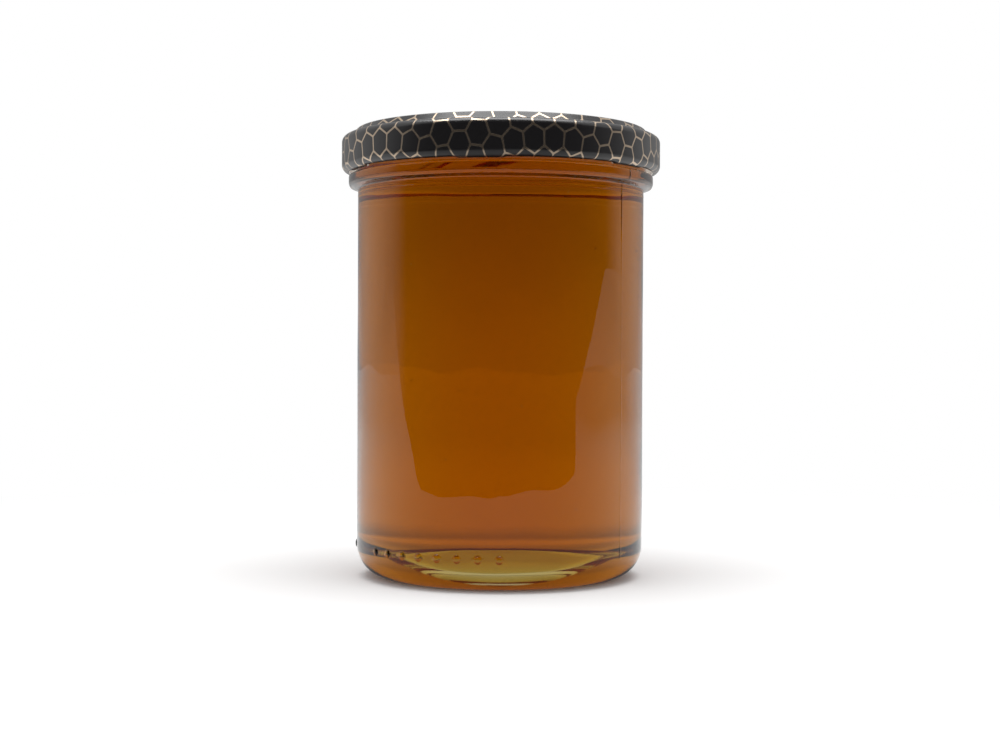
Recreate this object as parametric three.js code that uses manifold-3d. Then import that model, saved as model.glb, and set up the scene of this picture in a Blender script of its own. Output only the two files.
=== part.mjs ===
// A straight-sided glass jar full of clear honey, shut with a printed metal twist-off lid.
// Millimetres, +Z up. The origin is on the table, under the jar's axis, and the front faces -Y.
import * as THREE from "three";
import { mergeVertices } from "three/addons/utils/BufferGeometryUtils.js";
import Module from "manifold-3d";

// Whole object: an 82 mm twist-off closure measures 85.5 mm outside, and it sets the scale
const LID_RADIUS = 85.5 / 2;
const TOTAL_HEIGHT = 119.5;
const SEGMENTS = 60;
const GAP = 0.3;

// Glass body
const BODY_RADIUS = 38.4;
const WALL = 2.8;
const HEEL_RADIUS = 8.5;
const BEARING_WIDTH = 2.0;
const PUSH_UP_HEIGHT = 4.6;
const PUSH_UP_FLATNESS = 4;
const PUSH_UP_STEPS = 5;
const INNER_RADIUS = BODY_RADIUS - WALL;

// Floor of the hollow: raised over the push-up, and lowest where its corner begins
const FLOOR_CENTRE = 7.9;
const FLOOR_LOW = 4.4;
const FLOOR_EDGE = 26.2;
const FLOOR_FLATNESS = 3;
const FLOOR_EASE = 1.2;
const FLOOR_STEPS = 5;
const FLOOR_CORNER_HEIGHT = 8.0;

// Collar under the lid, and the finish that the lid screws on
const COLLAR_RADIUS = 40.9;
const COLLAR_TOP = 107.3;
const COLLAR_BULGE = 105.45;
const COLLAR_ROUND = 2.05;
const COLLAR_ROUND_SWEEP = 36;
const COLLAR_UNDER_TILT = 72;
const COLLAR_FILLET = 0.5;
const COLLAR_TOP_ROUND = 0.5;
const NECK_RADIUS = 39.1;
const RIM_HEIGHT = 117.7;
const RIM_ROUND = 1.3;

// Six thread ramps on the finish, each over one lug of the lid
const RAMPS = 6;
const RAMP_RADIUS = 40.0;
const RAMP_HEIGHT = 1.3;
const RAMP_LOW = 109.5;
const RAMP_CLIMB = 3.1;
const RAMP_LEAD = 9;
const RAMP_SWEEP = 44;
const RAMP_STEPS = 11;

// Honey, a little further from the glass than other solids because the floor slopes
const HONEY_LEVEL = 114.3;
const HONEY_GAP = 0.32;

// Lid
const SHEET = 0.45;
const SHOULDER_HEIGHT = 117.7;
const SHOULDER_ROUND = 1.7;
const SLOPE_FOOT = 39.9;
const SLOPE_TILT = THREE.MathUtils.degToRad(32);
const SLOPE_FILLET = 0.8;
const RIDGE_ROUND = 0.8;
const RIDGE_INNER = 35.6;
const CURL_ROUND = 1.9;
const CURL_BOTTOM = 108.1;
const CURL_LIP_ROUND = 0.55;
const PANEL_DEPTH = 0.9;
const PANEL_RADIUS = 34.0;
const SEAL_HEIGHT = RIM_HEIGHT + GAP;
const SEAL_RADIUS = 34.4;
const LUG_FRONT = -7;
const LUG_SWEEP = 20;
const LUG_STEPS = 5;
const LUG_REACH = 39.5;
const LUG_BOTTOM = 107.85;
const LUG_TOP = 109.15;
const LUG_ROOT = 40.9;

// How far one solid runs into another before the two are joined
const EMBED = 0.4;

const wasm = await Module();
wasm.setup();

const point = (radius, height) => new THREE.Vector2(radius, height);

// Points along an arc of a profile, angles in degrees from the outward direction
function arc(radius, height, size, from, to, steps) {
  return Array.from({ length: steps + 1 }, (_, i) => {
    const angle = THREE.MathUtils.degToRad(from + ((to - from) * i) / steps);
    return point(radius + size * Math.cos(angle), height + size * Math.sin(angle));
  });
}

// A profile of radius and height turned about +Z
function turned(profile) {
  return new THREE.LatheGeometry(profile, SEGMENTS).rotateX(Math.PI / 2);
}

// Angle about +Z of a place so many degrees to the right of the front
const bearing = (degrees) => THREE.MathUtils.degToRad(degrees - 90);

// A block between two radii and two heights over a sweep in degrees, climbing along the sweep
function ringBlock({ inner, outer, low, high, start, sweep, steps, climb }) {
  const from = bearing(start);
  const to = bearing(start + sweep);
  const shape = new THREE.Shape();
  shape.absarc(0, 0, outer, from, to, false);
  shape.absarc(0, 0, inner, to, from, true);
  const block = new THREE.ExtrudeGeometry(shape, {
    depth: high - low,
    bevelEnabled: false,
    curveSegments: steps,
  }).translate(0, 0, low);
  const places = block.getAttribute("position");
  for (let i = 0; i < places.count; i++) {
    const turn = Math.atan2(places.getY(i), places.getX(i)) - from;
    const along = THREE.MathUtils.euclideanModulo(turn + Math.PI, 2 * Math.PI) - Math.PI;
    places.setZ(i, places.getZ(i) + (climb * along) / (to - from));
  }
  return block;
}

// A closed geometry as a solid that can be joined
function solidOf(geometry) {
  const bare = geometry.clone();
  bare.deleteAttribute("normal");
  bare.deleteAttribute("uv");
  const merged = mergeVertices(bare, 1e-4);
  const vertProperties = Float32Array.from(merged.getAttribute("position").array);
  const triVerts = Uint32Array.from(merged.index.array);
  return new wasm.Manifold(new wasm.Mesh({ numProp: 3, vertProperties, triVerts }));
}

// The geometry of several closed geometries that run into each other
function joined(...geometries) {
  const [first, ...rest] = geometries.map(solidOf);
  const mesh = rest.reduce((whole, piece) => whole.add(piece), first).getMesh();
  const geometry = new THREE.BufferGeometry();
  geometry.setAttribute("position", new THREE.BufferAttribute(mesh.vertProperties, 3));
  geometry.setIndex(new THREE.BufferAttribute(mesh.triVerts, 1));
  geometry.computeVertexNormals();
  return geometry;
}

// Degrees to the right of the front of each lug and of the ramp that it sits under
const lugPlaces = Array.from({ length: RAMPS }, (_, i) => LUG_FRONT + (360 / RAMPS) * i);

function jarUnderside() {
  const heelCentre = BODY_RADIUS - HEEL_RADIUS;
  const bearingInner = heelCentre - BEARING_WIDTH;
  const dome = Array.from({ length: PUSH_UP_STEPS + 1 }, (_, i) => {
    const share = i / PUSH_UP_STEPS;
    return point(share * bearingInner, PUSH_UP_HEIGHT * (1 - share ** PUSH_UP_FLATNESS));
  });
  return [
    ...dome,
    ...arc(heelCentre, HEEL_RADIUS, HEEL_RADIUS, -90, 0, 7),
  ];
}

// The collar from the wall up: a fillet, a flat underside, the bulge and its rounded top edge
function jarCollar() {
  const bulge = arc(COLLAR_RADIUS - COLLAR_ROUND, COLLAR_BULGE, COLLAR_ROUND, -COLLAR_ROUND_SWEEP, 0, 3);
  const tilt = THREE.MathUtils.degToRad(COLLAR_UNDER_TILT);
  const filletEnd = BODY_RADIUS + COLLAR_FILLET * (1 - Math.cos(tilt));
  const drop = (bulge[0].x - filletEnd) / Math.tan(tilt) + COLLAR_FILLET * Math.sin(tilt);
  const filletHeight = bulge[0].y - drop;
  return [
    ...arc(BODY_RADIUS + COLLAR_FILLET, filletHeight, COLLAR_FILLET, 180, 180 - COLLAR_UNDER_TILT, 2),
    ...bulge,
    ...arc(COLLAR_RADIUS - COLLAR_TOP_ROUND, COLLAR_TOP - COLLAR_TOP_ROUND, COLLAR_TOP_ROUND, 0, 90, 2),
  ];
}

function jarRim() {
  return [
    point(NECK_RADIUS, COLLAR_TOP),
    ...arc(NECK_RADIUS - RIM_ROUND, RIM_HEIGHT - RIM_ROUND, RIM_ROUND, 0, 90, 4),
    ...arc(INNER_RADIUS + RIM_ROUND, RIM_HEIGHT - RIM_ROUND, RIM_ROUND, 90, 180, 3),
  ];
}

// The hollow's corner and floor, from the wall to the axis, set in from the glass by a clearance
function hollowFloor(clearance) {
  const width = INNER_RADIUS - FLOOR_EDGE - clearance;
  const height = FLOOR_CORNER_HEIGHT - clearance;
  const top = FLOOR_LOW + FLOOR_CORNER_HEIGHT;
  const corner = arc(0, 0, 1, 0, -90, 6).map(({ x, y }) => point(FLOOR_EDGE + width * x, top + height * y));
  const floor = Array.from({ length: FLOOR_STEPS }, (_, i) => {
    const share = 1 - (i + 1) / FLOOR_STEPS;
    const rise = (FLOOR_CENTRE - FLOOR_LOW) * (1 - share ** FLOOR_FLATNESS) ** FLOOR_EASE;
    return point(FLOOR_EDGE * share, FLOOR_LOW + clearance + rise);
  });
  return [...corner, ...floor];
}

function glassJar() {
  const wall = [
    ...jarUnderside(),
    ...jarCollar(),
    ...jarRim(),
    ...hollowFloor(0),
  ];
  const ramps = lugPlaces.map((place) =>
    ringBlock({
      inner: NECK_RADIUS - EMBED,
      outer: RAMP_RADIUS,
      low: RAMP_LOW,
      high: RAMP_LOW + RAMP_HEIGHT,
      start: place - RAMP_LEAD,
      sweep: RAMP_SWEEP,
      steps: RAMP_STEPS,
      climb: RAMP_CLIMB,
    }),
  );
  return joined(turned(wall), ...ramps);
}

function honeyFill() {
  return turned([
    ...hollowFloor(HONEY_GAP).reverse(),
    point(INNER_RADIUS - HONEY_GAP, HONEY_LEVEL),
    point(0, HONEY_LEVEL),
  ]);
}

// Radius at one height of the slope between the lid's shoulder and its ridge
const slopeRadius = (height) => SLOPE_FOOT - (height - SHOULDER_HEIGHT) * Math.tan(SLOPE_TILT);

function lidOutside() {
  const panelTop = TOTAL_HEIGHT - PANEL_DEPTH;
  const tilt = THREE.MathUtils.radToDeg(SLOPE_TILT);
  const ridgeHeight = TOTAL_HEIGHT - RIDGE_ROUND;
  const ridgeCentre = slopeRadius(ridgeHeight) - RIDGE_ROUND / Math.cos(SLOPE_TILT);
  const filletHeight = SHOULDER_HEIGHT + SLOPE_FILLET;
  const filletCentre = slopeRadius(filletHeight) + SLOPE_FILLET / Math.cos(SLOPE_TILT);
  return [
    point(0, panelTop),
    point(PANEL_RADIUS, panelTop),
    point((PANEL_RADIUS + RIDGE_INNER) / 2, TOTAL_HEIGHT - PANEL_DEPTH / 2),
    point(RIDGE_INNER, TOTAL_HEIGHT),
    ...arc(ridgeCentre, ridgeHeight, RIDGE_ROUND, 90, tilt, 3),
    ...arc(filletCentre, filletHeight, SLOPE_FILLET, 180 + tilt, 270, 3),
    ...arc(LID_RADIUS - SHOULDER_ROUND, SHOULDER_HEIGHT - SHOULDER_ROUND, SHOULDER_ROUND, 90, 0, 6),
    ...arc(LID_RADIUS - CURL_ROUND, CURL_BOTTOM + CURL_ROUND, CURL_ROUND, 0, -90, 5),
  ];
}

function lidInside() {
  const lipCentre = LID_RADIUS - CURL_ROUND;
  const shoulderCentre = LID_RADIUS - SHOULDER_ROUND;
  const shoulderSize = SHOULDER_ROUND - SHEET;
  const slopeInside = (height) => slopeRadius(height) - SHEET / Math.cos(SLOPE_TILT);
  const panelUnderside = TOTAL_HEIGHT - PANEL_DEPTH - SHEET;
  return [
    ...arc(lipCentre, CURL_BOTTOM + CURL_LIP_ROUND, CURL_LIP_ROUND, -120, -200, 3),
    point(LID_RADIUS - SHEET, CURL_BOTTOM + CURL_ROUND + SHEET),
    ...arc(shoulderCentre, SHOULDER_HEIGHT - SHOULDER_ROUND, shoulderSize, 0, 90, 4),
    point(slopeInside(SHOULDER_HEIGHT - SHEET), SHOULDER_HEIGHT - SHEET),
    point(slopeInside(SEAL_HEIGHT), SEAL_HEIGHT),
    point(SEAL_RADIUS, SEAL_HEIGHT),
    point(PANEL_RADIUS - SHEET, panelUnderside),
    point(0, panelUnderside),
  ];
}

function twistOffLid() {
  const lugs = lugPlaces.map((place) =>
    ringBlock({
      inner: LUG_REACH,
      outer: LUG_ROOT,
      low: LUG_BOTTOM,
      high: LUG_TOP,
      start: place - LUG_SWEEP / 2,
      sweep: LUG_SWEEP,
      steps: LUG_STEPS,
      climb: 0,
    }),
  );
  return joined(turned([...lidOutside(), ...lidInside()].reverse()), ...lugs);
}

function piece(name, geometry, material) {
  const mesh = new THREE.Mesh(geometry, material);
  mesh.name = name;
  return mesh;
}

const clearGlass = new THREE.MeshStandardMaterial({
  color: 0xdfe6e0,
  roughness: 0.03,
  metalness: 0,
  transparent: true,
  opacity: 0.3,
});
const amberHoney = new THREE.MeshStandardMaterial({ color: 0x8a4a05, roughness: 0.1, metalness: 0 });
const charcoalLacquer = new THREE.MeshStandardMaterial({ color: 0x242122, roughness: 0.35, metalness: 0.6 });

const group = new THREE.Group();
group.add(piece("glass_jar", glassJar(), clearGlass));
group.add(piece("honey", honeyFill(), amberHoney));
group.add(piece("lid", twistOffLid(), charcoalLacquer));

export default group;
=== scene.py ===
# The looks of the honey jar: clear glass, amber honey and a printed twist-off lid, in a pale studio.
# Profiles are in millimetres, as in the part's source, and every mesh is made in metres.
import math
import random

import bpy
from mathutils import Matrix, Vector


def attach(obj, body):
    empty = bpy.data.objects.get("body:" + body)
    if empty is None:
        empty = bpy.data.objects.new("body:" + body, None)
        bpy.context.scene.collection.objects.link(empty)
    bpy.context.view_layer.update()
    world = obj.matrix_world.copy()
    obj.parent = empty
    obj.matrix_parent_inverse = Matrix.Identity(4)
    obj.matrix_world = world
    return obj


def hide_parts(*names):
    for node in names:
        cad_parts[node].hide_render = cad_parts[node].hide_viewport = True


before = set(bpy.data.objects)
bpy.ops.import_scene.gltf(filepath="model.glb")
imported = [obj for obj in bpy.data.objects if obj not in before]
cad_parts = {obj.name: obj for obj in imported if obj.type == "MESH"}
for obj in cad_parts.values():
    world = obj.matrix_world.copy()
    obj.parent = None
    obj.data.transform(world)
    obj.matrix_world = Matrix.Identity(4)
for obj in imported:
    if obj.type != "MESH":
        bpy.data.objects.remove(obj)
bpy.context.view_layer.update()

MM = 0.001
COLUMN_GAP = 0.12

# Glass body
BODY_RADIUS = 38.4
WALL = 2.8
HEEL_RADIUS = 8.5
BEARING_WIDTH = 2.0
PUSH_UP_HEIGHT = 4.6
PUSH_UP_FLATNESS = 4
INNER_RADIUS = BODY_RADIUS - WALL

# Floor of the hollow: raised over the push-up, and lowest where its corner begins
FLOOR_CENTRE = 7.9
FLOOR_LOW = 4.4
FLOOR_EDGE = 26.2
FLOOR_FLATNESS = 3
FLOOR_EASE = 1.2
FLOOR_CORNER_HEIGHT = 8.0

# Collar and finish
COLLAR_RADIUS = 40.9
COLLAR_TOP = 107.3
COLLAR_BULGE = 105.45
COLLAR_ROUND = 2.05
COLLAR_ROUND_SWEEP = 36
COLLAR_UNDER_TILT = 72
COLLAR_FILLET = 0.5
COLLAR_TOP_ROUND = 0.5
NECK_RADIUS = 39.1
RIM_HEIGHT = 117.7
RIM_ROUND = 1.3

# Thread ramps of the finish
RAMPS = 6
RAMP_RADIUS = 40.0
RAMP_HEIGHT = 1.3
RAMP_LOW = 109.5
RAMP_CLIMB = 3.1
RAMP_LEAD = 9
RAMP_SWEEP = 44
RAMP_EASE = 0.6
RAMP_END = 8

# Honey, which reaches this far into the glass so that no air shows between them
HONEY_LEVEL = 114.3
WETTING = 0.12
GLASS_IOR = 1.52
GLASS_TINT = (0.985, 0.995, 0.985)
HONEY_IOR = 1.49

# Bubbles seen in the honey near its wall: degrees to the right of the front, and height
SEEN_BUBBLES = (
    (-42, 64.4),
    (-39, 82.3),
    (28, 100.3),
    (7.4, 33.1),
    (33, 20.5),
    (-44.6, 15.5),
    (7, 15.8),
    (9, 46.7),
    (-46, 33.9),
    (-23, 33),
)
MORE_BUBBLES = 14

# Lid
LID_RADIUS = 42.75
TOTAL_HEIGHT = 119.5
SHEET = 0.45
SHOULDER_HEIGHT = 117.7
SHOULDER_ROUND = 1.7
SLOPE_FOOT = 39.9
SLOPE_TILT = 32
SLOPE_FILLET = 0.8
RIDGE_ROUND = 0.8
RIDGE_INNER = 35.6
CURL_ROUND = 1.9
CURL_BOTTOM = 108.1
CURL_LIP_ROUND = 0.55
PANEL_DEPTH = 0.9
PANEL_RADIUS = 34.0
PANEL_EASE = 0.4
SEAL_HEIGHT = 118.0
SEAL_RADIUS = 34.4
LUG_FRONT = -7
LUG_SWEEP = 20
LUG_FLANK = 2.5
LUG_REACH = 39.5
LUG_BOTTOM = 107.85
LUG_ROUND = 0.6

# Relief left on the glass by its mould
SEAMS = (54, -126)
SEAM_WIDTH = 0.42
SEAM_PROUD = 0.05
SEAM_SWELL = 1.5
SEAM_SWELL_SPAN = (88, 98)
PARTING_HEIGHT = 101.8
PARTING_WIDTH = 0.5
PARTING_PROUD = 0.03
PARTING_ROWS_BELOW = 0.6
PARTING_ROWS = 11
LONE_DOT = -88
FIRST_DOT = -56
DOT_HEIGHT = 8.5
DOT_PITCH = 8
DOT_COUNT = 8
DOT_PROUD = 0.4
DOT_HALF_WIDTH = 0.85
DOT_HALF_HEIGHT = 1.05
DOT_ROWS_BELOW = 1.3
DOT_ROWS = 27
FINE_ROW = 0.1
WAVE = 0.03

# Each wave of the wall: its share, its number round the jar, its lean with the height and its start
WAVES = (
    (0.5, 3, 0.09, 0.7),
    (0.35, 7, -0.16, 2.1),
    (0.3, 11, 0.23, 4.4),
    (0.2, 17, -0.31, 1.3),
)

# Honeycomb print: place of the pattern on the flat sheet that the lid is drawn from
CELL = 5.8115
CELL_TURN = 44.17
CELL_SHIFT = (0.7136, 0.4115)
CELL_CORNER = 0.05
LINE_WIDTH = 0.45
LINE_BLUR = 0.04
SHEET_SHRINK = 1.008

# Table, in metres
TABLE_REACH = 6.0
TABLE_DROP = 0.00005

# Camera, fitted to the photograph
CAMERA_DISTANCE = 442.5
CAMERA_HEIGHT = 59.1
CAMERA_LENS = 58.9
CAMERA_PITCH = 0.0116
CAMERA_ROLL = 0.0044


def arc(radius, height, size, start, end, steps):
    """Points along an arc of a profile, angles in degrees from the outward direction."""
    angles = [math.radians(start + (end - start) * i / steps) for i in range(steps + 1)]
    return [(radius + size * math.cos(a), height + size * math.sin(a)) for a in angles]


def line(start, end, steps):
    """Points between two profile points, without the last one."""
    return [
        (start[0] + (end[0] - start[0]) * i / steps, start[1] + (end[1] - start[1]) * i / steps)
        for i in range(steps)
    ]


def smooth_step(low, high, value):
    share = min(max((value - low) / (high - low), 0.0), 1.0)
    return share * share * (3 - 2 * share)


def ring(step):
    """Angles all round, in degrees to the right of the front."""
    return [-180 + step * i for i in range(round(360 / step))]


def apart(first, second):
    """Degrees between two places round the jar, never more than half a turn."""
    return abs((first - second + 180) % 360 - 180)


def with_columns(angles, centre, half_width, steps):
    """The same angles with closer ones about one place."""
    extra = [centre + half_width * (i / steps * 2 - 1) for i in range(steps + 1)]
    extra = [(a + 180) % 360 - 180 for a in extra]
    kept = [a for a in angles if all(apart(a, e) > COLUMN_GAP for e in extra)]
    return sorted(kept + extra)


def place(radius, height, angle):
    turn = math.radians(angle)
    return (radius * math.sin(turn) * MM, -radius * math.cos(turn) * MM, height * MM)


def add_object(name, data):
    piece = bpy.data.objects.new(name, data)
    bpy.context.scene.collection.objects.link(piece)
    return piece


def turned_points(rows, angles):
    """The points of a turned mesh, and the number of each by its profile point and its angle."""
    points = []
    index = {}
    for i, (radius, _) in enumerate(rows[0]):
        for j, angle in enumerate(angles):
            if j and radius < 1e-6:
                index[i, j] = index[i, 0]
                continue
            index[i, j] = len(points)
            points.append(place(*rows[j][i], angle))
    return points, index


def turned_faces(index, count, angles):
    """The faces of a turned mesh, each as its band and its corners: point, profile point and angle."""
    faces = []
    for i in range(count - 1):
        for j, angle in enumerate(angles):
            m = (j + 1) % len(angles)
            next_angle = angle + (angles[m] - angle) % 360
            low = [(i, j, angle), (i, m, next_angle)]
            high = [(i + 1, m, next_angle), (i + 1, j, angle)]
            corners = []
            for row, column, at in low + high:
                if index[row, column] not in [corner[0] for corner in corners]:
                    corners.append((index[row, column], row, at))
            if len(corners) > 2:
                faces.append((i, corners))
    return faces


def turned(name, profile_at, angles, materials, slots, sheet=None):
    """A mesh of revolution. profile_at(angle) gives its points, from the axis underneath outwards and up.

    slots(i) gives the material of the band after point i, and sheet(i) its radius on the flat sheet.
    """
    rows = [profile_at(a) for a in angles]
    points, index = turned_points(rows, angles)
    faces = turned_faces(index, len(rows[0]), angles)
    mesh = bpy.data.meshes.new(name)
    mesh.from_pydata(points, [], [[point for point, _, _ in corners] for _, corners in faces])
    if sheet:
        layer = mesh.uv_layers.new(name="SheetFlat")
        flat_corners = [(sheet(row), math.radians(at)) for _, corners in faces for _, row, at in corners]
        for loop, (flat, turn) in zip(layer.data, flat_corners):
            loop.uv = (flat * math.sin(turn), -flat * math.cos(turn))
    for material in materials:
        mesh.materials.append(material)
    for face, (band, _) in zip(mesh.polygons, faces):
        face.use_smooth = True
        face.material_index = slots(band)
    mesh.update()
    return add_object(name, mesh)


# Glass

def wave(angle, height):
    """Slow unevenness of a moulded glass wall, in millimetres."""
    turn = math.radians(angle)
    parts = [size * math.sin(count * turn + lean * height + start) for size, count, lean, start in WAVES]
    return WAVE * sum(parts)


def seam_relief(angle):
    """The mould's two seams, opposite each other."""
    reach = math.radians(min(apart(angle, seam) for seam in SEAMS)) * BODY_RADIUS
    return SEAM_PROUD * math.exp(-((reach / (SEAM_WIDTH / 2)) ** 2))


dot_places = [LONE_DOT] + [FIRST_DOT + DOT_PITCH * i for i in range(DOT_COUNT)]


def dot_relief(angle, height):
    """The low round dots above the heel."""
    total = 0
    for centre in dot_places:
        across = math.radians(apart(angle, centre)) * BODY_RADIUS / DOT_HALF_WIDTH
        along = (height - DOT_HEIGHT) / DOT_HALF_HEIGHT
        reach = across * across + along * along
        if reach < 1:
            total += DOT_PROUD * math.sqrt(1 - reach) ** 0.8
    return total


def outer_relief(angle, height):
    """All that the mould leaves on the outside: waves in the wall, two seams, a parting line and dots."""
    fade = smooth_step(2, 12, height) * (1 - smooth_step(98, 103, height))
    relief = wave(angle, height) * fade
    ends = smooth_step(4, 9, height) * (1 - smooth_step(106.5, 107.2, height))
    relief += seam_relief(angle) * ends * (1 + SEAM_SWELL * smooth_step(*SEAM_SWELL_SPAN, height))
    relief += PARTING_PROUD * math.exp(-(((height - PARTING_HEIGHT) / (PARTING_WIDTH / 2)) ** 2))
    return relief + dot_relief(angle, height)


def glass_outside():
    heel = BODY_RADIUS - HEEL_RADIUS
    bearing = heel - BEARING_WIDTH
    dome = [(bearing * i / 24, PUSH_UP_HEIGHT * (1 - (i / 24) ** PUSH_UP_FLATNESS)) for i in range(24)]
    first_dot = DOT_HEIGHT - DOT_ROWS_BELOW
    low = [p for p in arc(heel, HEEL_RADIUS, HEEL_RADIUS, -90, 0, 36) if p[1] < first_dot]
    dots = []
    for i in range(DOT_ROWS):
        height = first_dot + FINE_ROW * i
        depth = max(HEEL_RADIUS - height, 0)
        dots.append((heel + math.sqrt(HEEL_RADIUS**2 - depth**2), height))
    first_parting = PARTING_HEIGHT - PARTING_ROWS_BELOW
    wall = line((BODY_RADIUS, DOT_HEIGHT + 1.6), (BODY_RADIUS, first_parting), 36)
    parting = [(BODY_RADIUS, first_parting + FINE_ROW * i) for i in range(PARTING_ROWS)]
    return dome + [(bearing, 0)] + low + dots + wall + parting + glass_collar()


def glass_collar():
    """The collar from the wall up: a fillet, a flat underside, the bulge and its rounded top edge."""
    bulge = arc(COLLAR_RADIUS - COLLAR_ROUND, COLLAR_BULGE, COLLAR_ROUND, -COLLAR_ROUND_SWEEP, 0, 12)
    tilt = math.radians(COLLAR_UNDER_TILT)
    fillet_end = BODY_RADIUS + COLLAR_FILLET * (1 - math.cos(tilt))
    drop = (bulge[0][0] - fillet_end) / math.tan(tilt) + COLLAR_FILLET * math.sin(tilt)
    fillet_height = bulge[0][1] - drop
    fillet = arc(BODY_RADIUS + COLLAR_FILLET, fillet_height, COLLAR_FILLET, 180, 180 - COLLAR_UNDER_TILT, 8)
    under = line(fillet.pop(), bulge[0], 4)
    top = arc(COLLAR_RADIUS - COLLAR_TOP_ROUND, COLLAR_TOP - COLLAR_TOP_ROUND, COLLAR_TOP_ROUND, 0, 90, 8)
    return fillet + under + bulge + top


lug_places = [LUG_FRONT + 360 / RAMPS * i for i in range(RAMPS)]


def ramp_reach(angle, height):
    """How far the thread ramps stand out of the neck at one place."""
    reach = 0
    for lug in lug_places:
        along = (angle - (lug - RAMP_LEAD)) % 360
        if along > RAMP_SWEEP:
            continue
        low = RAMP_LOW + RAMP_CLIMB * along / RAMP_SWEEP
        ends = smooth_step(0, RAMP_END, along) * (1 - smooth_step(RAMP_SWEEP - RAMP_END, RAMP_SWEEP, along))
        rise = smooth_step(low - RAMP_EASE / 2, low + RAMP_EASE, height)
        fall = 1 - smooth_step(low + RAMP_HEIGHT - RAMP_EASE, low + RAMP_HEIGHT + RAMP_EASE / 2, height)
        reach = max(reach, (RAMP_RADIUS - NECK_RADIUS) * rise * fall * ends)
    return reach


def glass_neck():
    neck = line((NECK_RADIUS, COLLAR_TOP), (NECK_RADIUS, RIM_HEIGHT - RIM_ROUND), 36)
    neck += arc(NECK_RADIUS - RIM_ROUND, RIM_HEIGHT - RIM_ROUND, RIM_ROUND, 0, 90, 10)
    return neck + arc(INNER_RADIUS + RIM_ROUND, RIM_HEIGHT - RIM_ROUND, RIM_ROUND, 90, 180, 8)


def hollow_floor(reach):
    """The hollow's corner and floor, from its wall to its axis, moved into the glass by a reach."""
    width = INNER_RADIUS - FLOOR_EDGE + reach
    height = FLOOR_CORNER_HEIGHT + reach
    top = FLOOR_LOW + FLOOR_CORNER_HEIGHT
    points = [(FLOOR_EDGE + width * x, top + height * z) for x, z in arc(0, 0, 1, 0, -90, 24)]
    steps = 26
    for i in reversed(range(steps)):
        share = i / steps
        rise = (FLOOR_CENTRE - FLOOR_LOW) * (1 - share**FLOOR_FLATNESS) ** FLOOR_EASE
        points.append((FLOOR_EDGE * share, FLOOR_LOW - reach + rise))
    return points


def glass_piece(materials):
    outside = glass_outside()
    neck = glass_neck()
    dry = line((INNER_RADIUS, RIM_HEIGHT - RIM_ROUND), (INNER_RADIUS, HONEY_LEVEL), 6)[1:]
    floor = hollow_floor(0)
    inside = line((INNER_RADIUS, HONEY_LEVEL), floor[0], 12) + floor
    profile = outside + neck + dry + inside
    first_neck = len(outside)
    first_wet = len(outside) + len(neck) + len(dry)

    def profile_at(angle):
        points = [(r + outer_relief(angle, z) * (z > 0.5), z) for r, z in profile[:first_neck]]
        points += [(r + ramp_reach(angle, z) * (r > NECK_RADIUS - 0.01), z) for r, z in neck]
        return points + dry + inside

    angles = ring(1.8)
    for seam in SEAMS:
        angles = with_columns(angles, seam, 0.9, 12)
    for centre in dot_places:
        angles = with_columns(angles, centre, 1.4, 12)
    return turned("glass_jar_clear", profile_at, angles, materials, lambda i: int(i >= first_wet))


# Honey

def honey_piece(materials):
    radius = INNER_RADIUS + WETTING
    profile = hollow_floor(WETTING)[::-1]
    profile += line(profile.pop(), (radius, HONEY_LEVEL), 30)
    first_top = len(profile)
    profile += line((radius, HONEY_LEVEL), (0, HONEY_LEVEL), 8)
    profile.append((0, HONEY_LEVEL))
    return turned(
        "honey_clear",
        lambda angle: profile,
        ring(1.5),
        materials,
        slots=lambda i: int(i >= first_top),
    )


def add_ball(points, faces, centre, size):
    """Adds a small ball to the points and faces of a mesh."""
    rings = 6
    sides = 10
    first = len(points)
    points.append(centre - Vector((0, 0, size * MM)))
    for i in range(1, rings):
        tilt = math.pi * i / rings
        for j in range(sides):
            turn = 2 * math.pi * j / sides
            flat = math.sin(tilt)
            way = Vector((flat * math.cos(turn), flat * math.sin(turn), -math.cos(tilt)))
            points.append(centre + way * size * MM)
    points.append(centre + Vector((0, 0, size * MM)))
    last = len(points) - 1
    for j in range(sides):
        k = (j + 1) % sides
        faces.append((first, first + 1 + k, first + 1 + j))
        faces.append((last, last - sides + j, last - sides + k))
        for i in range(rings - 2):
            low = first + 1 + i * sides
            faces.append((low + j, low + k, low + sides + k, low + sides + j))


def bubbles_piece(material):
    """Small bubbles that hang in the honey, near the wall as in the photograph, joined in one piece."""
    draw = random.Random(7)
    places = list(SEEN_BUBBLES)
    for _ in range(MORE_BUBBLES):
        places.append((draw.uniform(60, 300), draw.uniform(18, 104)))
    points = []
    faces = []
    for angle, height in places:
        size = draw.uniform(0.12, 0.26)
        centre = Vector(place(INNER_RADIUS - draw.uniform(0.6, 3.0), height, angle))
        add_ball(points, faces, centre, size)
    mesh = bpy.data.meshes.new("bubbles")
    mesh.from_pydata(points, [], faces)
    for face in mesh.polygons:
        face.use_smooth = True
    mesh.materials.append(material)
    return add_object("bubbles", mesh)


# Lid

def lug_share(angle):
    """1 on a lug, 0 between the lugs."""
    across = min(apart(angle, lug) for lug in lug_places)
    return 1 - smooth_step(LUG_SWEEP / 2 - LUG_FLANK, LUG_SWEEP / 2, across)


def slope_radius(height):
    """Radius at one height of the slope between the lid's shoulder and its ridge."""
    return SLOPE_FOOT - (height - SHOULDER_HEIGHT) * math.tan(math.radians(SLOPE_TILT))


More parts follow.
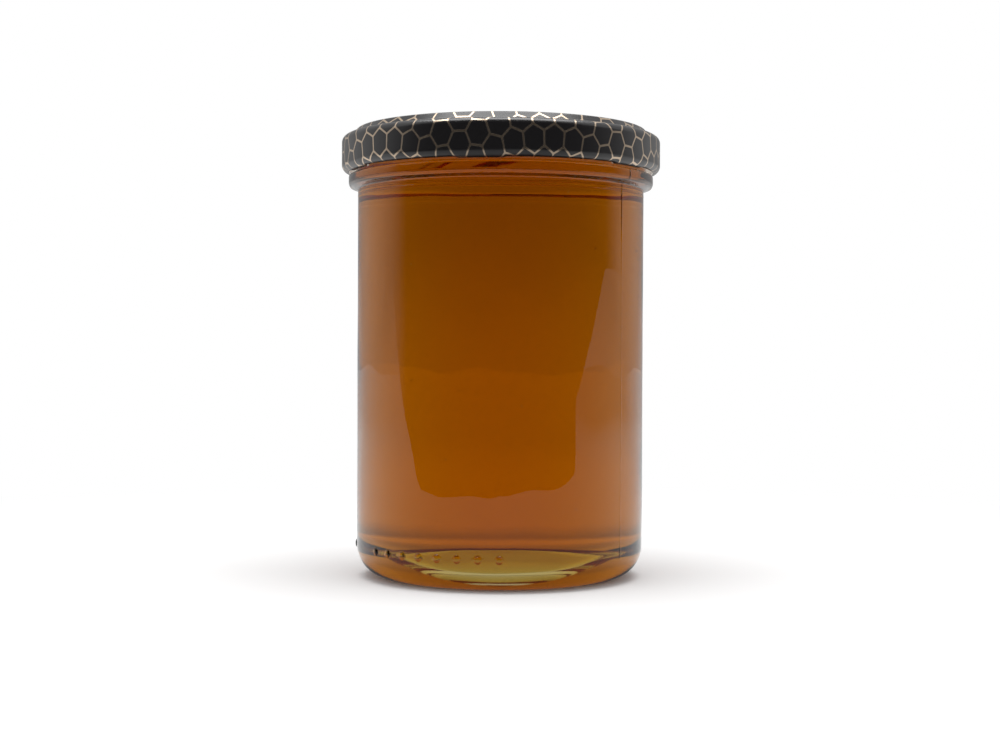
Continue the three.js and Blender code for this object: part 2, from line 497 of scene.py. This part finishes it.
def lid_outside(lug):
    """Profile of the lid's outside, from its middle down to the curl, at a share of a lug."""
    panel_top = TOTAL_HEIGHT - PANEL_DEPTH
    bottom = CURL_BOTTOM + (LUG_BOTTOM - CURL_BOTTOM) * lug
    panel_edge = PANEL_RADIUS - PANEL_EASE
    points = line((0, panel_top), (panel_edge, panel_top), 12)
    run = RIDGE_INNER + PANEL_EASE - panel_edge
    for i in range(13):
        share = i / 12
        points.append((panel_edge + run * share, panel_top + PANEL_DEPTH * smooth_step(0, 1, share)))
    lean = math.cos(math.radians(SLOPE_TILT))
    high = TOTAL_HEIGHT - RIDGE_ROUND
    centre = slope_radius(high) - RIDGE_ROUND / lean
    points += line(points.pop(), (centre, TOTAL_HEIGHT), 3)
    points += arc(centre, high, RIDGE_ROUND, 90, SLOPE_TILT, 10)
    low = SHOULDER_HEIGHT + SLOPE_FILLET
    centre = slope_radius(low) + SLOPE_FILLET / lean
    points += arc(centre, low, SLOPE_FILLET, 180 + SLOPE_TILT, 270, 8)
    points += arc(LID_RADIUS - SHOULDER_ROUND, SHOULDER_HEIGHT - SHOULDER_ROUND, SHOULDER_ROUND, 90, 0, 18)
    top = points.pop()
    points += line(top, (LID_RADIUS, CURL_BOTTOM + CURL_ROUND), 12)
    high = CURL_BOTTOM + CURL_ROUND - bottom
    curl = arc(0, 0, 1, 0, -90, 16)
    points += [(LID_RADIUS - CURL_ROUND + CURL_ROUND * x, bottom + high + high * z) for x, z in curl]
    return points


def lid_inside(lug):
    """Profile of the lid's inside, from the curl's lip up to its middle."""
    bottom = CURL_BOTTOM + (LUG_BOTTOM - CURL_BOTTOM) * lug
    lip_round = CURL_LIP_ROUND + (LUG_ROUND - CURL_LIP_ROUND) * lug
    lip_centre = LID_RADIUS - CURL_ROUND + (LUG_REACH + LUG_ROUND - LID_RADIUS + CURL_ROUND) * lug
    points = arc(lip_centre, bottom + lip_round, lip_round, -95, -235, 12)
    under = TOTAL_HEIGHT - PANEL_DEPTH - SHEET
    skirt = LID_RADIUS - SHEET
    inset = SHEET / math.cos(math.radians(SLOPE_TILT))
    points += line((skirt, CURL_BOTTOM + CURL_ROUND + SHEET), (skirt, SHOULDER_HEIGHT - SHOULDER_ROUND), 6)
    shoulder = LID_RADIUS - SHOULDER_ROUND
    points += arc(shoulder, SHOULDER_HEIGHT - SHOULDER_ROUND, SHOULDER_ROUND - SHEET, 0, 90, 8)
    points += [
        (slope_radius(SHOULDER_HEIGHT - SHEET) - inset, SHOULDER_HEIGHT - SHEET),
        (slope_radius(SEAL_HEIGHT) - inset, SEAL_HEIGHT),
        (SEAL_RADIUS, SEAL_HEIGHT),
        (PANEL_RADIUS - SHEET, under),
        (0, under),
    ]
    return points


def sheet_radii(profile):
    """Radius on the flat sheet of each profile point: drawing the sheet keeps its area."""
    area = 0
    radii = [0]
    for (r0, z0), (r1, z1) in zip(profile, profile[1:]):
        area += (r0 + r1) * math.hypot(r1 - r0, z1 - z0)
        radii.append(math.sqrt(area * SHEET_SHRINK))
    return radii


def lid_piece(materials):
    printed = len(lid_outside(0))
    radii = sheet_radii(lid_outside(0) + lid_inside(0))

    def profile_at(angle):
        lug = lug_share(angle)
        return (lid_outside(lug) + lid_inside(lug))[::-1]

    count = len(radii)
    angles = ring(1.5)
    for lug in lug_places:
        for side in (-1, 1):
            edge = lug + side * (LUG_SWEEP / 2 - LUG_FLANK / 2)
            angles = with_columns(angles, edge, LUG_FLANK / 2, 6)
    return turned(
        "lid_printed",
        profile_at,
        angles,
        materials,
        slots=lambda i: int(count - 2 - i >= printed),
        sheet=lambda i: radii[count - 1 - i],
    )


# Materials

class Nodes:
    """Adds shader nodes to a material or a world and links them, so that a formula reads in order."""

    def __init__(self, material):
        self.tree = material.node_tree

    def add(self, kind, **settings):
        node = self.tree.nodes.new(kind)
        for key, value in settings.items():
            setattr(node, key, value)
        return node

    def feed(self, socket, value):
        if isinstance(value, bpy.types.NodeSocket):
            self.tree.links.new(value, socket)
        else:
            socket.default_value = value

    def math(self, operation, *values):
        node = self.add("ShaderNodeMath", operation=operation)
        for socket, value in zip(node.inputs, values):
            self.feed(socket, value)
        return node.outputs[0]

    def vector(self, operation, *values):
        node = self.add("ShaderNodeVectorMath", operation=operation)
        for socket, value in zip(node.inputs, values):
            self.feed(socket, value)
        return node.outputs["Value" if operation in ("LENGTH", "DOT_PRODUCT") else "Vector"]

    def mix(self, kind, factor, first, second):
        """The first value at a factor of 0 and the second at 1, of numbers, vectors or colours."""
        node = self.add("ShaderNodeMix", data_type=kind)
        self.feed(node.inputs["Factor"], factor)
        socket_kind = {"FLOAT": "VALUE", "VECTOR": "VECTOR", "RGBA": "RGBA"}[kind]
        inputs = [s for s in node.inputs if s.type == socket_kind][-2:]
        self.feed(inputs[0], first)
        self.feed(inputs[1], second)
        return [s for s in node.outputs if s.type == socket_kind][0]

    def blend(self, share, first, second):
        """The first shader at a share of 0 and the second at 1."""
        node = self.add("ShaderNodeMixShader")
        for socket, value in zip(node.inputs, (share, first, second)):
            self.feed(socket, value)
        return node.outputs[0]

    def ramp(self, value, span, results):
        """A smooth change from one result to the other over a span of the value."""
        node = self.add("ShaderNodeMapRange", interpolation_type="SMOOTHSTEP")
        self.feed(node.inputs["Value"], value)
        node.inputs["From Min"].default_value, node.inputs["From Max"].default_value = span
        node.inputs["To Min"].default_value, node.inputs["To Max"].default_value = results
        return node.outputs[0]


def new_material(name):
    """A new material and its principled shader."""
    material = bpy.data.materials.new(name)
    material.use_nodes = True
    return material, material.node_tree.nodes["Principled BSDF"]


def clear_material(name, colour, ior):
    """A smooth surface that lets all light through and bends it."""
    material, bsdf = new_material(name)
    bsdf.inputs["Base Color"].default_value = (*colour, 1)
    bsdf.inputs["Roughness"].default_value = 0.0
    bsdf.inputs["IOR"].default_value = ior
    bsdf.inputs["Transmission Weight"].default_value = 1
    return material


def honey_material(name, surface_ior):
    """Clear amber. Against the wall its surface bends no light, as the wetted glass there does that."""
    material = clear_material(name, (1, 1, 1), surface_ior)
    nodes = Nodes(material)
    volume = nodes.add("ShaderNodeVolumeAbsorption")
    volume.inputs["Color"].default_value = (0.907, 0.733, 0.0, 1)
    volume.inputs["Density"].default_value = 120
    output = material.node_tree.nodes["Material Output"]
    nodes.feed(output.inputs["Volume"], volume.outputs[0])
    return material


def from_cell_centre(nodes, flat):
    """The way to a place on the sheet from the middle of its honeycomb cell, in cell widths."""
    half = (0.5, math.sqrt(3) / 2, 0.5)
    centred = []
    for shift in ((0, 0, 0), half):
        wrap = nodes.add("ShaderNodeVectorMath", operation="WRAP")
        nodes.feed(wrap.inputs[0], nodes.vector("ADD", flat, shift))
        wrap.inputs[1].default_value = half
        wrap.inputs[2].default_value = tuple(-h for h in half)
        centred.append(nodes.vector("MULTIPLY", wrap.outputs[0], (1, 1, 0)))
    lengths = [nodes.vector("LENGTH", way) for way in centred]
    nearer = nodes.math("LESS_THAN", *lengths)
    return nodes.mix("VECTOR", nearer, centred[1], centred[0])


def honeycomb_line(nodes):
    """1 on the printed lines of the honeycomb and 0 inside its cells, worked out on the flat sheet."""
    turn = nodes.add("ShaderNodeMapping", vector_type="POINT")
    nodes.feed(turn.inputs["Vector"], nodes.add("ShaderNodeUVMap", uv_map="SheetFlat").outputs[0])
    turn.inputs["Rotation"].default_value = (0, 0, math.radians(CELL_TURN))
    turn.inputs["Scale"].default_value = (1 / CELL, 1 / CELL, 1)
    turn.inputs["Location"].default_value = (*CELL_SHIFT, 0)
    way = from_cell_centre(nodes, turn.outputs[0])
    sides = []
    for x, y in ((1, 0), (0.5, math.sqrt(3) / 2), (0.5, -math.sqrt(3) / 2)):
        sides.append(nodes.math("ABSOLUTE", nodes.vector("DOT_PRODUCT", way, (x, y, 0))))
    reach = nodes.math("SMOOTH_MAX", sides[0], sides[1], CELL_CORNER)
    reach = nodes.math("SMOOTH_MAX", reach, sides[2], CELL_CORNER)
    outer = 0.5 - (LINE_WIDTH / 2 + LINE_BLUR) / CELL
    inner = 0.5 - (LINE_WIDTH / 2 - LINE_BLUR) / CELL
    return nodes.ramp(reach, (outer, inner), (0.0, 1.0))


def lid_material():
    """Charcoal lacquer with bare metallic lines, and the fine waves of a stoved coat."""
    material, bsdf = new_material("charcoal_lacquer")
    nodes = Nodes(material)
    gold = honeycomb_line(nodes)
    colour = nodes.mix("RGBA", gold, (0.0085, 0.0072, 0.0082, 1), (0.63, 0.50, 0.375, 1))
    nodes.feed(bsdf.inputs["Base Color"], colour)
    nodes.feed(bsdf.inputs["Metallic"], gold)
    bsdf.inputs["Roughness"].default_value = 0.32
    bsdf.inputs["IOR"].default_value = 1.7
    peel = nodes.add("ShaderNodeTexNoise", noise_dimensions="3D")
    nodes.feed(peel.inputs["Vector"], nodes.add("ShaderNodeTexCoord").outputs["Object"])
    peel.inputs["Scale"].default_value = 1400
    peel.inputs["Detail"].default_value = 1.5
    bump = nodes.add("ShaderNodeBump")
    bump.inputs["Strength"].default_value = 0.12
    bump.inputs["Distance"].default_value = 0.00004
    nodes.feed(bump.inputs["Height"], peel.outputs["Fac"])
    nodes.feed(bsdf.inputs["Normal"], bump.outputs[0])
    return material


def lid_inside_glowing_material():
    """Pale lacquer with a painted glow, which stands for the light that real honey scatters up into the lid.
    """
    material, bsdf = new_material("inside_lacquer_painted_glow")
    bsdf.inputs["Base Color"].default_value = (0.8, 0.77, 0.7, 1)
    bsdf.inputs["Roughness"].default_value = 0.45
    # Painted light: the inside of the lid glows faintly, though it is no lamp.
    bsdf.inputs["Emission Color"].default_value = (1.0, 0.97, 0.9, 1)
    bsdf.inputs["Emission Strength"].default_value = 0.27
    return material


# Studio

def light_path(nodes, output):
    return nodes.add("ShaderNodeLightPath").outputs[output]


def world_glow(nodes):
    """Brightness of the room round the jar, by height and by how far behind the jar it lies."""
    parts = nodes.add("ShaderNodeSeparateXYZ")
    nodes.feed(parts.inputs[0], nodes.add("ShaderNodeTexCoord").outputs["Generated"])
    height = parts.outputs["Z"]
    depth = parts.outputs["Y"]
    fall = nodes.ramp(height, (-0.02, 0.1), (0.56, 0.38))
    beside = nodes.ramp(depth, (0.1, 0.35), (0.42, 0.57))
    behind = nodes.ramp(depth, (0.65, 0.97), (0.57, 0.38))
    low = nodes.math("MAXIMUM", fall, nodes.math("MINIMUM", beside, behind))
    high = nodes.ramp(height, (0.1, 0.22), (0.0, 0.45))
    front_share = nodes.ramp(depth, (-0.2, 0.3), (1.0, 0.2))
    back_share = nodes.ramp(depth, (0.85, 0.97), (1.0, 0.0))
    share = nodes.math("MINIMUM", front_share, back_share)
    return nodes.math("MULTIPLY_ADD", high, share, low)


def studio_world():
    """A white backdrop for the camera, and a dimmer room for what the jar reflects and refracts."""
    world = bpy.data.worlds.new("studio")
    bpy.context.scene.world = world
    world.use_nodes = True
    nodes = Nodes(world)
    background = world.node_tree.nodes["Background"]
    background.inputs["Color"].default_value = (1, 1, 1, 1)
    strength = nodes.mix("FLOAT", light_path(nodes, "Is Camera Ray"), world_glow(nodes), 1.0)
    nodes.feed(background.inputs["Strength"], strength)


def painted_table_glow_in_gloss(nodes, reach, depth, aside):
    """The table's painted glow in reflections: dimmer in front and far off, with a painted shadow of the jar
    close under the heel.
    """
    beside = nodes.ramp(depth, (-0.9, 0.5), (0.42, 1.0))
    behind = nodes.ramp(depth, (0.8, 1.0), (1.0, 0.7))
    far = nodes.ramp(reach, (0.6, 1.3), (0.0, -0.5))
    fade = nodes.math("MULTIPLY_ADD", far, nodes.ramp(aside, (0.75, 0.97), (0.35, 1.0)), 1.0)
    glow = nodes.math("MULTIPLY", nodes.math("MINIMUM", beside, behind), fade)
    # Painted shadow of the jar on the table, close under its heel.
    return nodes.math("MULTIPLY", glow, nodes.ramp(reach, (0.034, 0.05), (0.15, 1.0)))


def painted_table_glow_through_glass(nodes, reach, depth):
    """The table's painted glow as it shows through the jar: a painted shadow of the jar near it, and dimmest
    at its sides.
    """
    # Painted shadow of the jar on the table round its foot.
    painted_jar_shadow = nodes.ramp(reach, (0.04, 0.16), (0.2, 1.12))
    glow = nodes.math("MINIMUM", painted_jar_shadow, nodes.ramp(reach, (0.3, 0.8), (1.12, 1.0)))
    ahead = nodes.ramp(depth, (0.0, 0.3), (0.6, 0.3))
    behind = nodes.ramp(depth, (0.1, 0.85), (0.25, 0.62))
    return nodes.math("MULTIPLY", glow, nodes.math("MAXIMUM", ahead, behind))


def table_glow(nodes, place_at, reach):
    """The painted glow of the table in the jar, with painted light and shadow, by the distance from the jar
    and the way that it lies.
    """
    parts = nodes.add("ShaderNodeSeparateXYZ")
    nodes.feed(parts.inputs[0], place_at)
    depth = nodes.math("DIVIDE", parts.outputs["Y"], reach)
    aside = nodes.math("DIVIDE", parts.outputs["X"], reach)
    in_gloss = painted_table_glow_in_gloss(nodes, reach, depth, aside)
    through = painted_table_glow_through_glass(nodes, reach, depth)
    glow = nodes.add("ShaderNodeEmission")
    strength = nodes.mix("FLOAT", light_path(nodes, "Is Transmission Ray"), in_gloss, through)
    nodes.feed(glow.inputs["Strength"], strength)
    return glow.outputs[0]


def table_material():
    """A pale table, lit round the jar and white farther off for the camera, that glows in the jar with
    painted light and painted shadow.
    """
    material, bsdf = new_material("pale_table")
    nodes = Nodes(material)
    bsdf.inputs["Base Color"].default_value = (0.88, 0.88, 0.88, 1)
    bsdf.inputs["Roughness"].default_value = 0.7
    bsdf.inputs["Specular IOR Level"].default_value = 0.0
    place_at = nodes.add("ShaderNodeTexCoord").outputs["Object"]
    reach = nodes.vector("LENGTH", place_at)
    white = nodes.add("ShaderNodeEmission").outputs[0]
    seen = nodes.blend(nodes.ramp(reach, (0.1, 0.3), (0.0, 1.0)), bsdf.outputs[0], white)
    surface = nodes.blend(light_path(nodes, "Is Camera Ray"), table_glow(nodes, place_at, reach), seen)
    nodes.feed(material.node_tree.nodes["Material Output"].inputs["Surface"], surface)
    return material


def flat_piece(name, points, faces, material):
    mesh = bpy.data.meshes.new(name)
    mesh.from_pydata(points, [], faces)
    mesh.materials.append(material)
    piece = add_object(name, mesh)
    return piece


def table():
    """A square table top, a little under the jar's foot so that the two don't share a plane."""
    corners = [(-1, -1), (1, -1), (1, 1), (-1, 1)]
    points = [(x * TABLE_REACH, y * TABLE_REACH, -TABLE_DROP) for x, y in corners]
    flat_piece("table", points, [(0, 1, 2, 3)], table_material())


def overhead_light():
    """A soft lamp above the jar. Its power follows its area, so its size doesn't change how bright it is."""
    light = bpy.data.lights.new("overhead", "AREA")
    light.shape = "RECTANGLE"
    light.size = 0.7
    light.size_y = 0.47
    light.energy = 4 * math.pi * light.size * light.size_y
    lamp = add_object("overhead", light)
    lamp.location = (0, -0.035, 0.75)
    lamp.visible_camera = False
    lamp.visible_transmission = False


def reflection_card_material():
    """A painted reflection: dark in front of the jar, and lighter towards the card's ends behind it."""
    material = bpy.data.materials.new("dark_reflection_card")
    material.use_nodes = True
    nodes = Nodes(material)
    tree = material.node_tree
    tree.nodes.remove(tree.nodes["Principled BSDF"])
    way = nodes.vector("NORMALIZE", nodes.add("ShaderNodeTexCoord").outputs["Object"])
    parts = nodes.add("ShaderNodeSeparateXYZ")
    nodes.feed(parts.inputs[0], way)
    depth = nodes.math("MULTIPLY_ADD", parts.outputs["X"], -0.1, parts.outputs["Y"])
    glow = nodes.add("ShaderNodeEmission")
    # Painted reflection: the card's glow, dark in front and lighter behind.
    nodes.feed(glow.inputs["Strength"], nodes.ramp(depth, (-0.15, 0.27), (0.01, 0.5)))
    nodes.feed(tree.nodes["Material Output"].inputs["Surface"], glow.outputs[0])
    return material


def dark_reflection_card():
    """A dark card in front of the jar, which only gloss reflects: a painted reflection of the darkness in
    front of the jar, casting no shadow. Its corners are in millimetres.
    """
    foot = [
        (-1600, -250, 0),
        (-616, -204, 0),
        (-307, -168, 0),
        (0, -354, 0),
        (407, -248, 0),
        (780, -450, 23),
        (869, -233, 72),
        (900, -16, 128),
        (1200, 400, 140),
    ]
    top = [
        (-1500, 450, 260),
        (-616, -204, 240),
        (-307, -290, 700),
        (0, -290, 700),
        (407, -290, 700),
        (780, -330, 420),
        (900, -200, 340),
        (1050, 0, 320),
        (1480, 700, 320),
    ]
    points = [tuple(c * MM for c in corner) for pair in zip(foot, top) for corner in pair]
    faces = [(2 * i, 2 * i + 2, 2 * i + 3, 2 * i + 1) for i in range(len(foot) - 1)]
    card = flat_piece("dark_reflection_card", points, faces, reflection_card_material())
    card.visible_camera = False
    card.visible_diffuse = False
    card.visible_transmission = False
    card.visible_volume_scatter = False
    card.visible_shadow = False


def camera():
    lens = bpy.data.cameras.new("camera")
    lens.lens = CAMERA_LENS
    lens.sensor_width = 36
    lens.clip_start = 0.01
    holder = add_object("camera", lens)
    spot = Matrix.Translation((0, -CAMERA_DISTANCE * MM, CAMERA_HEIGHT * MM))
    tilt = Matrix.Rotation(math.pi / 2 - CAMERA_PITCH, 4, "X")
    holder.matrix_world = spot @ tilt @ Matrix.Rotation(CAMERA_ROLL, 4, "Z")
    bpy.context.scene.camera = holder


clear_glass = clear_material("clear_glass_outer", GLASS_TINT, GLASS_IOR)
wetted_glass = clear_material("clear_glass_wetted", GLASS_TINT, GLASS_IOR / HONEY_IOR)
glass = glass_piece([clear_glass, wetted_glass])
honey = honey_piece([honey_material("honey_amber", 1.0), honey_material("honey_surface", HONEY_IOR)])
bubbles = bubbles_piece(clear_material("honey_bubble", (1, 1, 1), HONEY_IOR))
lid = lid_piece([lid_material(), lid_inside_glowing_material()])

for piece, slot in ((glass, "clear_glass"), (honey, "honey"), (bubbles, "honey"), (lid, "lid_lacquer")):
    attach(piece, "root")
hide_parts("glass_jar")
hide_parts("honey")
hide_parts("lid")

table()
dark_reflection_card()
overhead_light()
studio_world()
camera()

scene = bpy.context.scene
scene.view_settings.view_transform = "Standard"
scene.cycles.max_bounces = 32
scene.cycles.transmission_bounces = 24
scene.cycles.glossy_bounces = 24
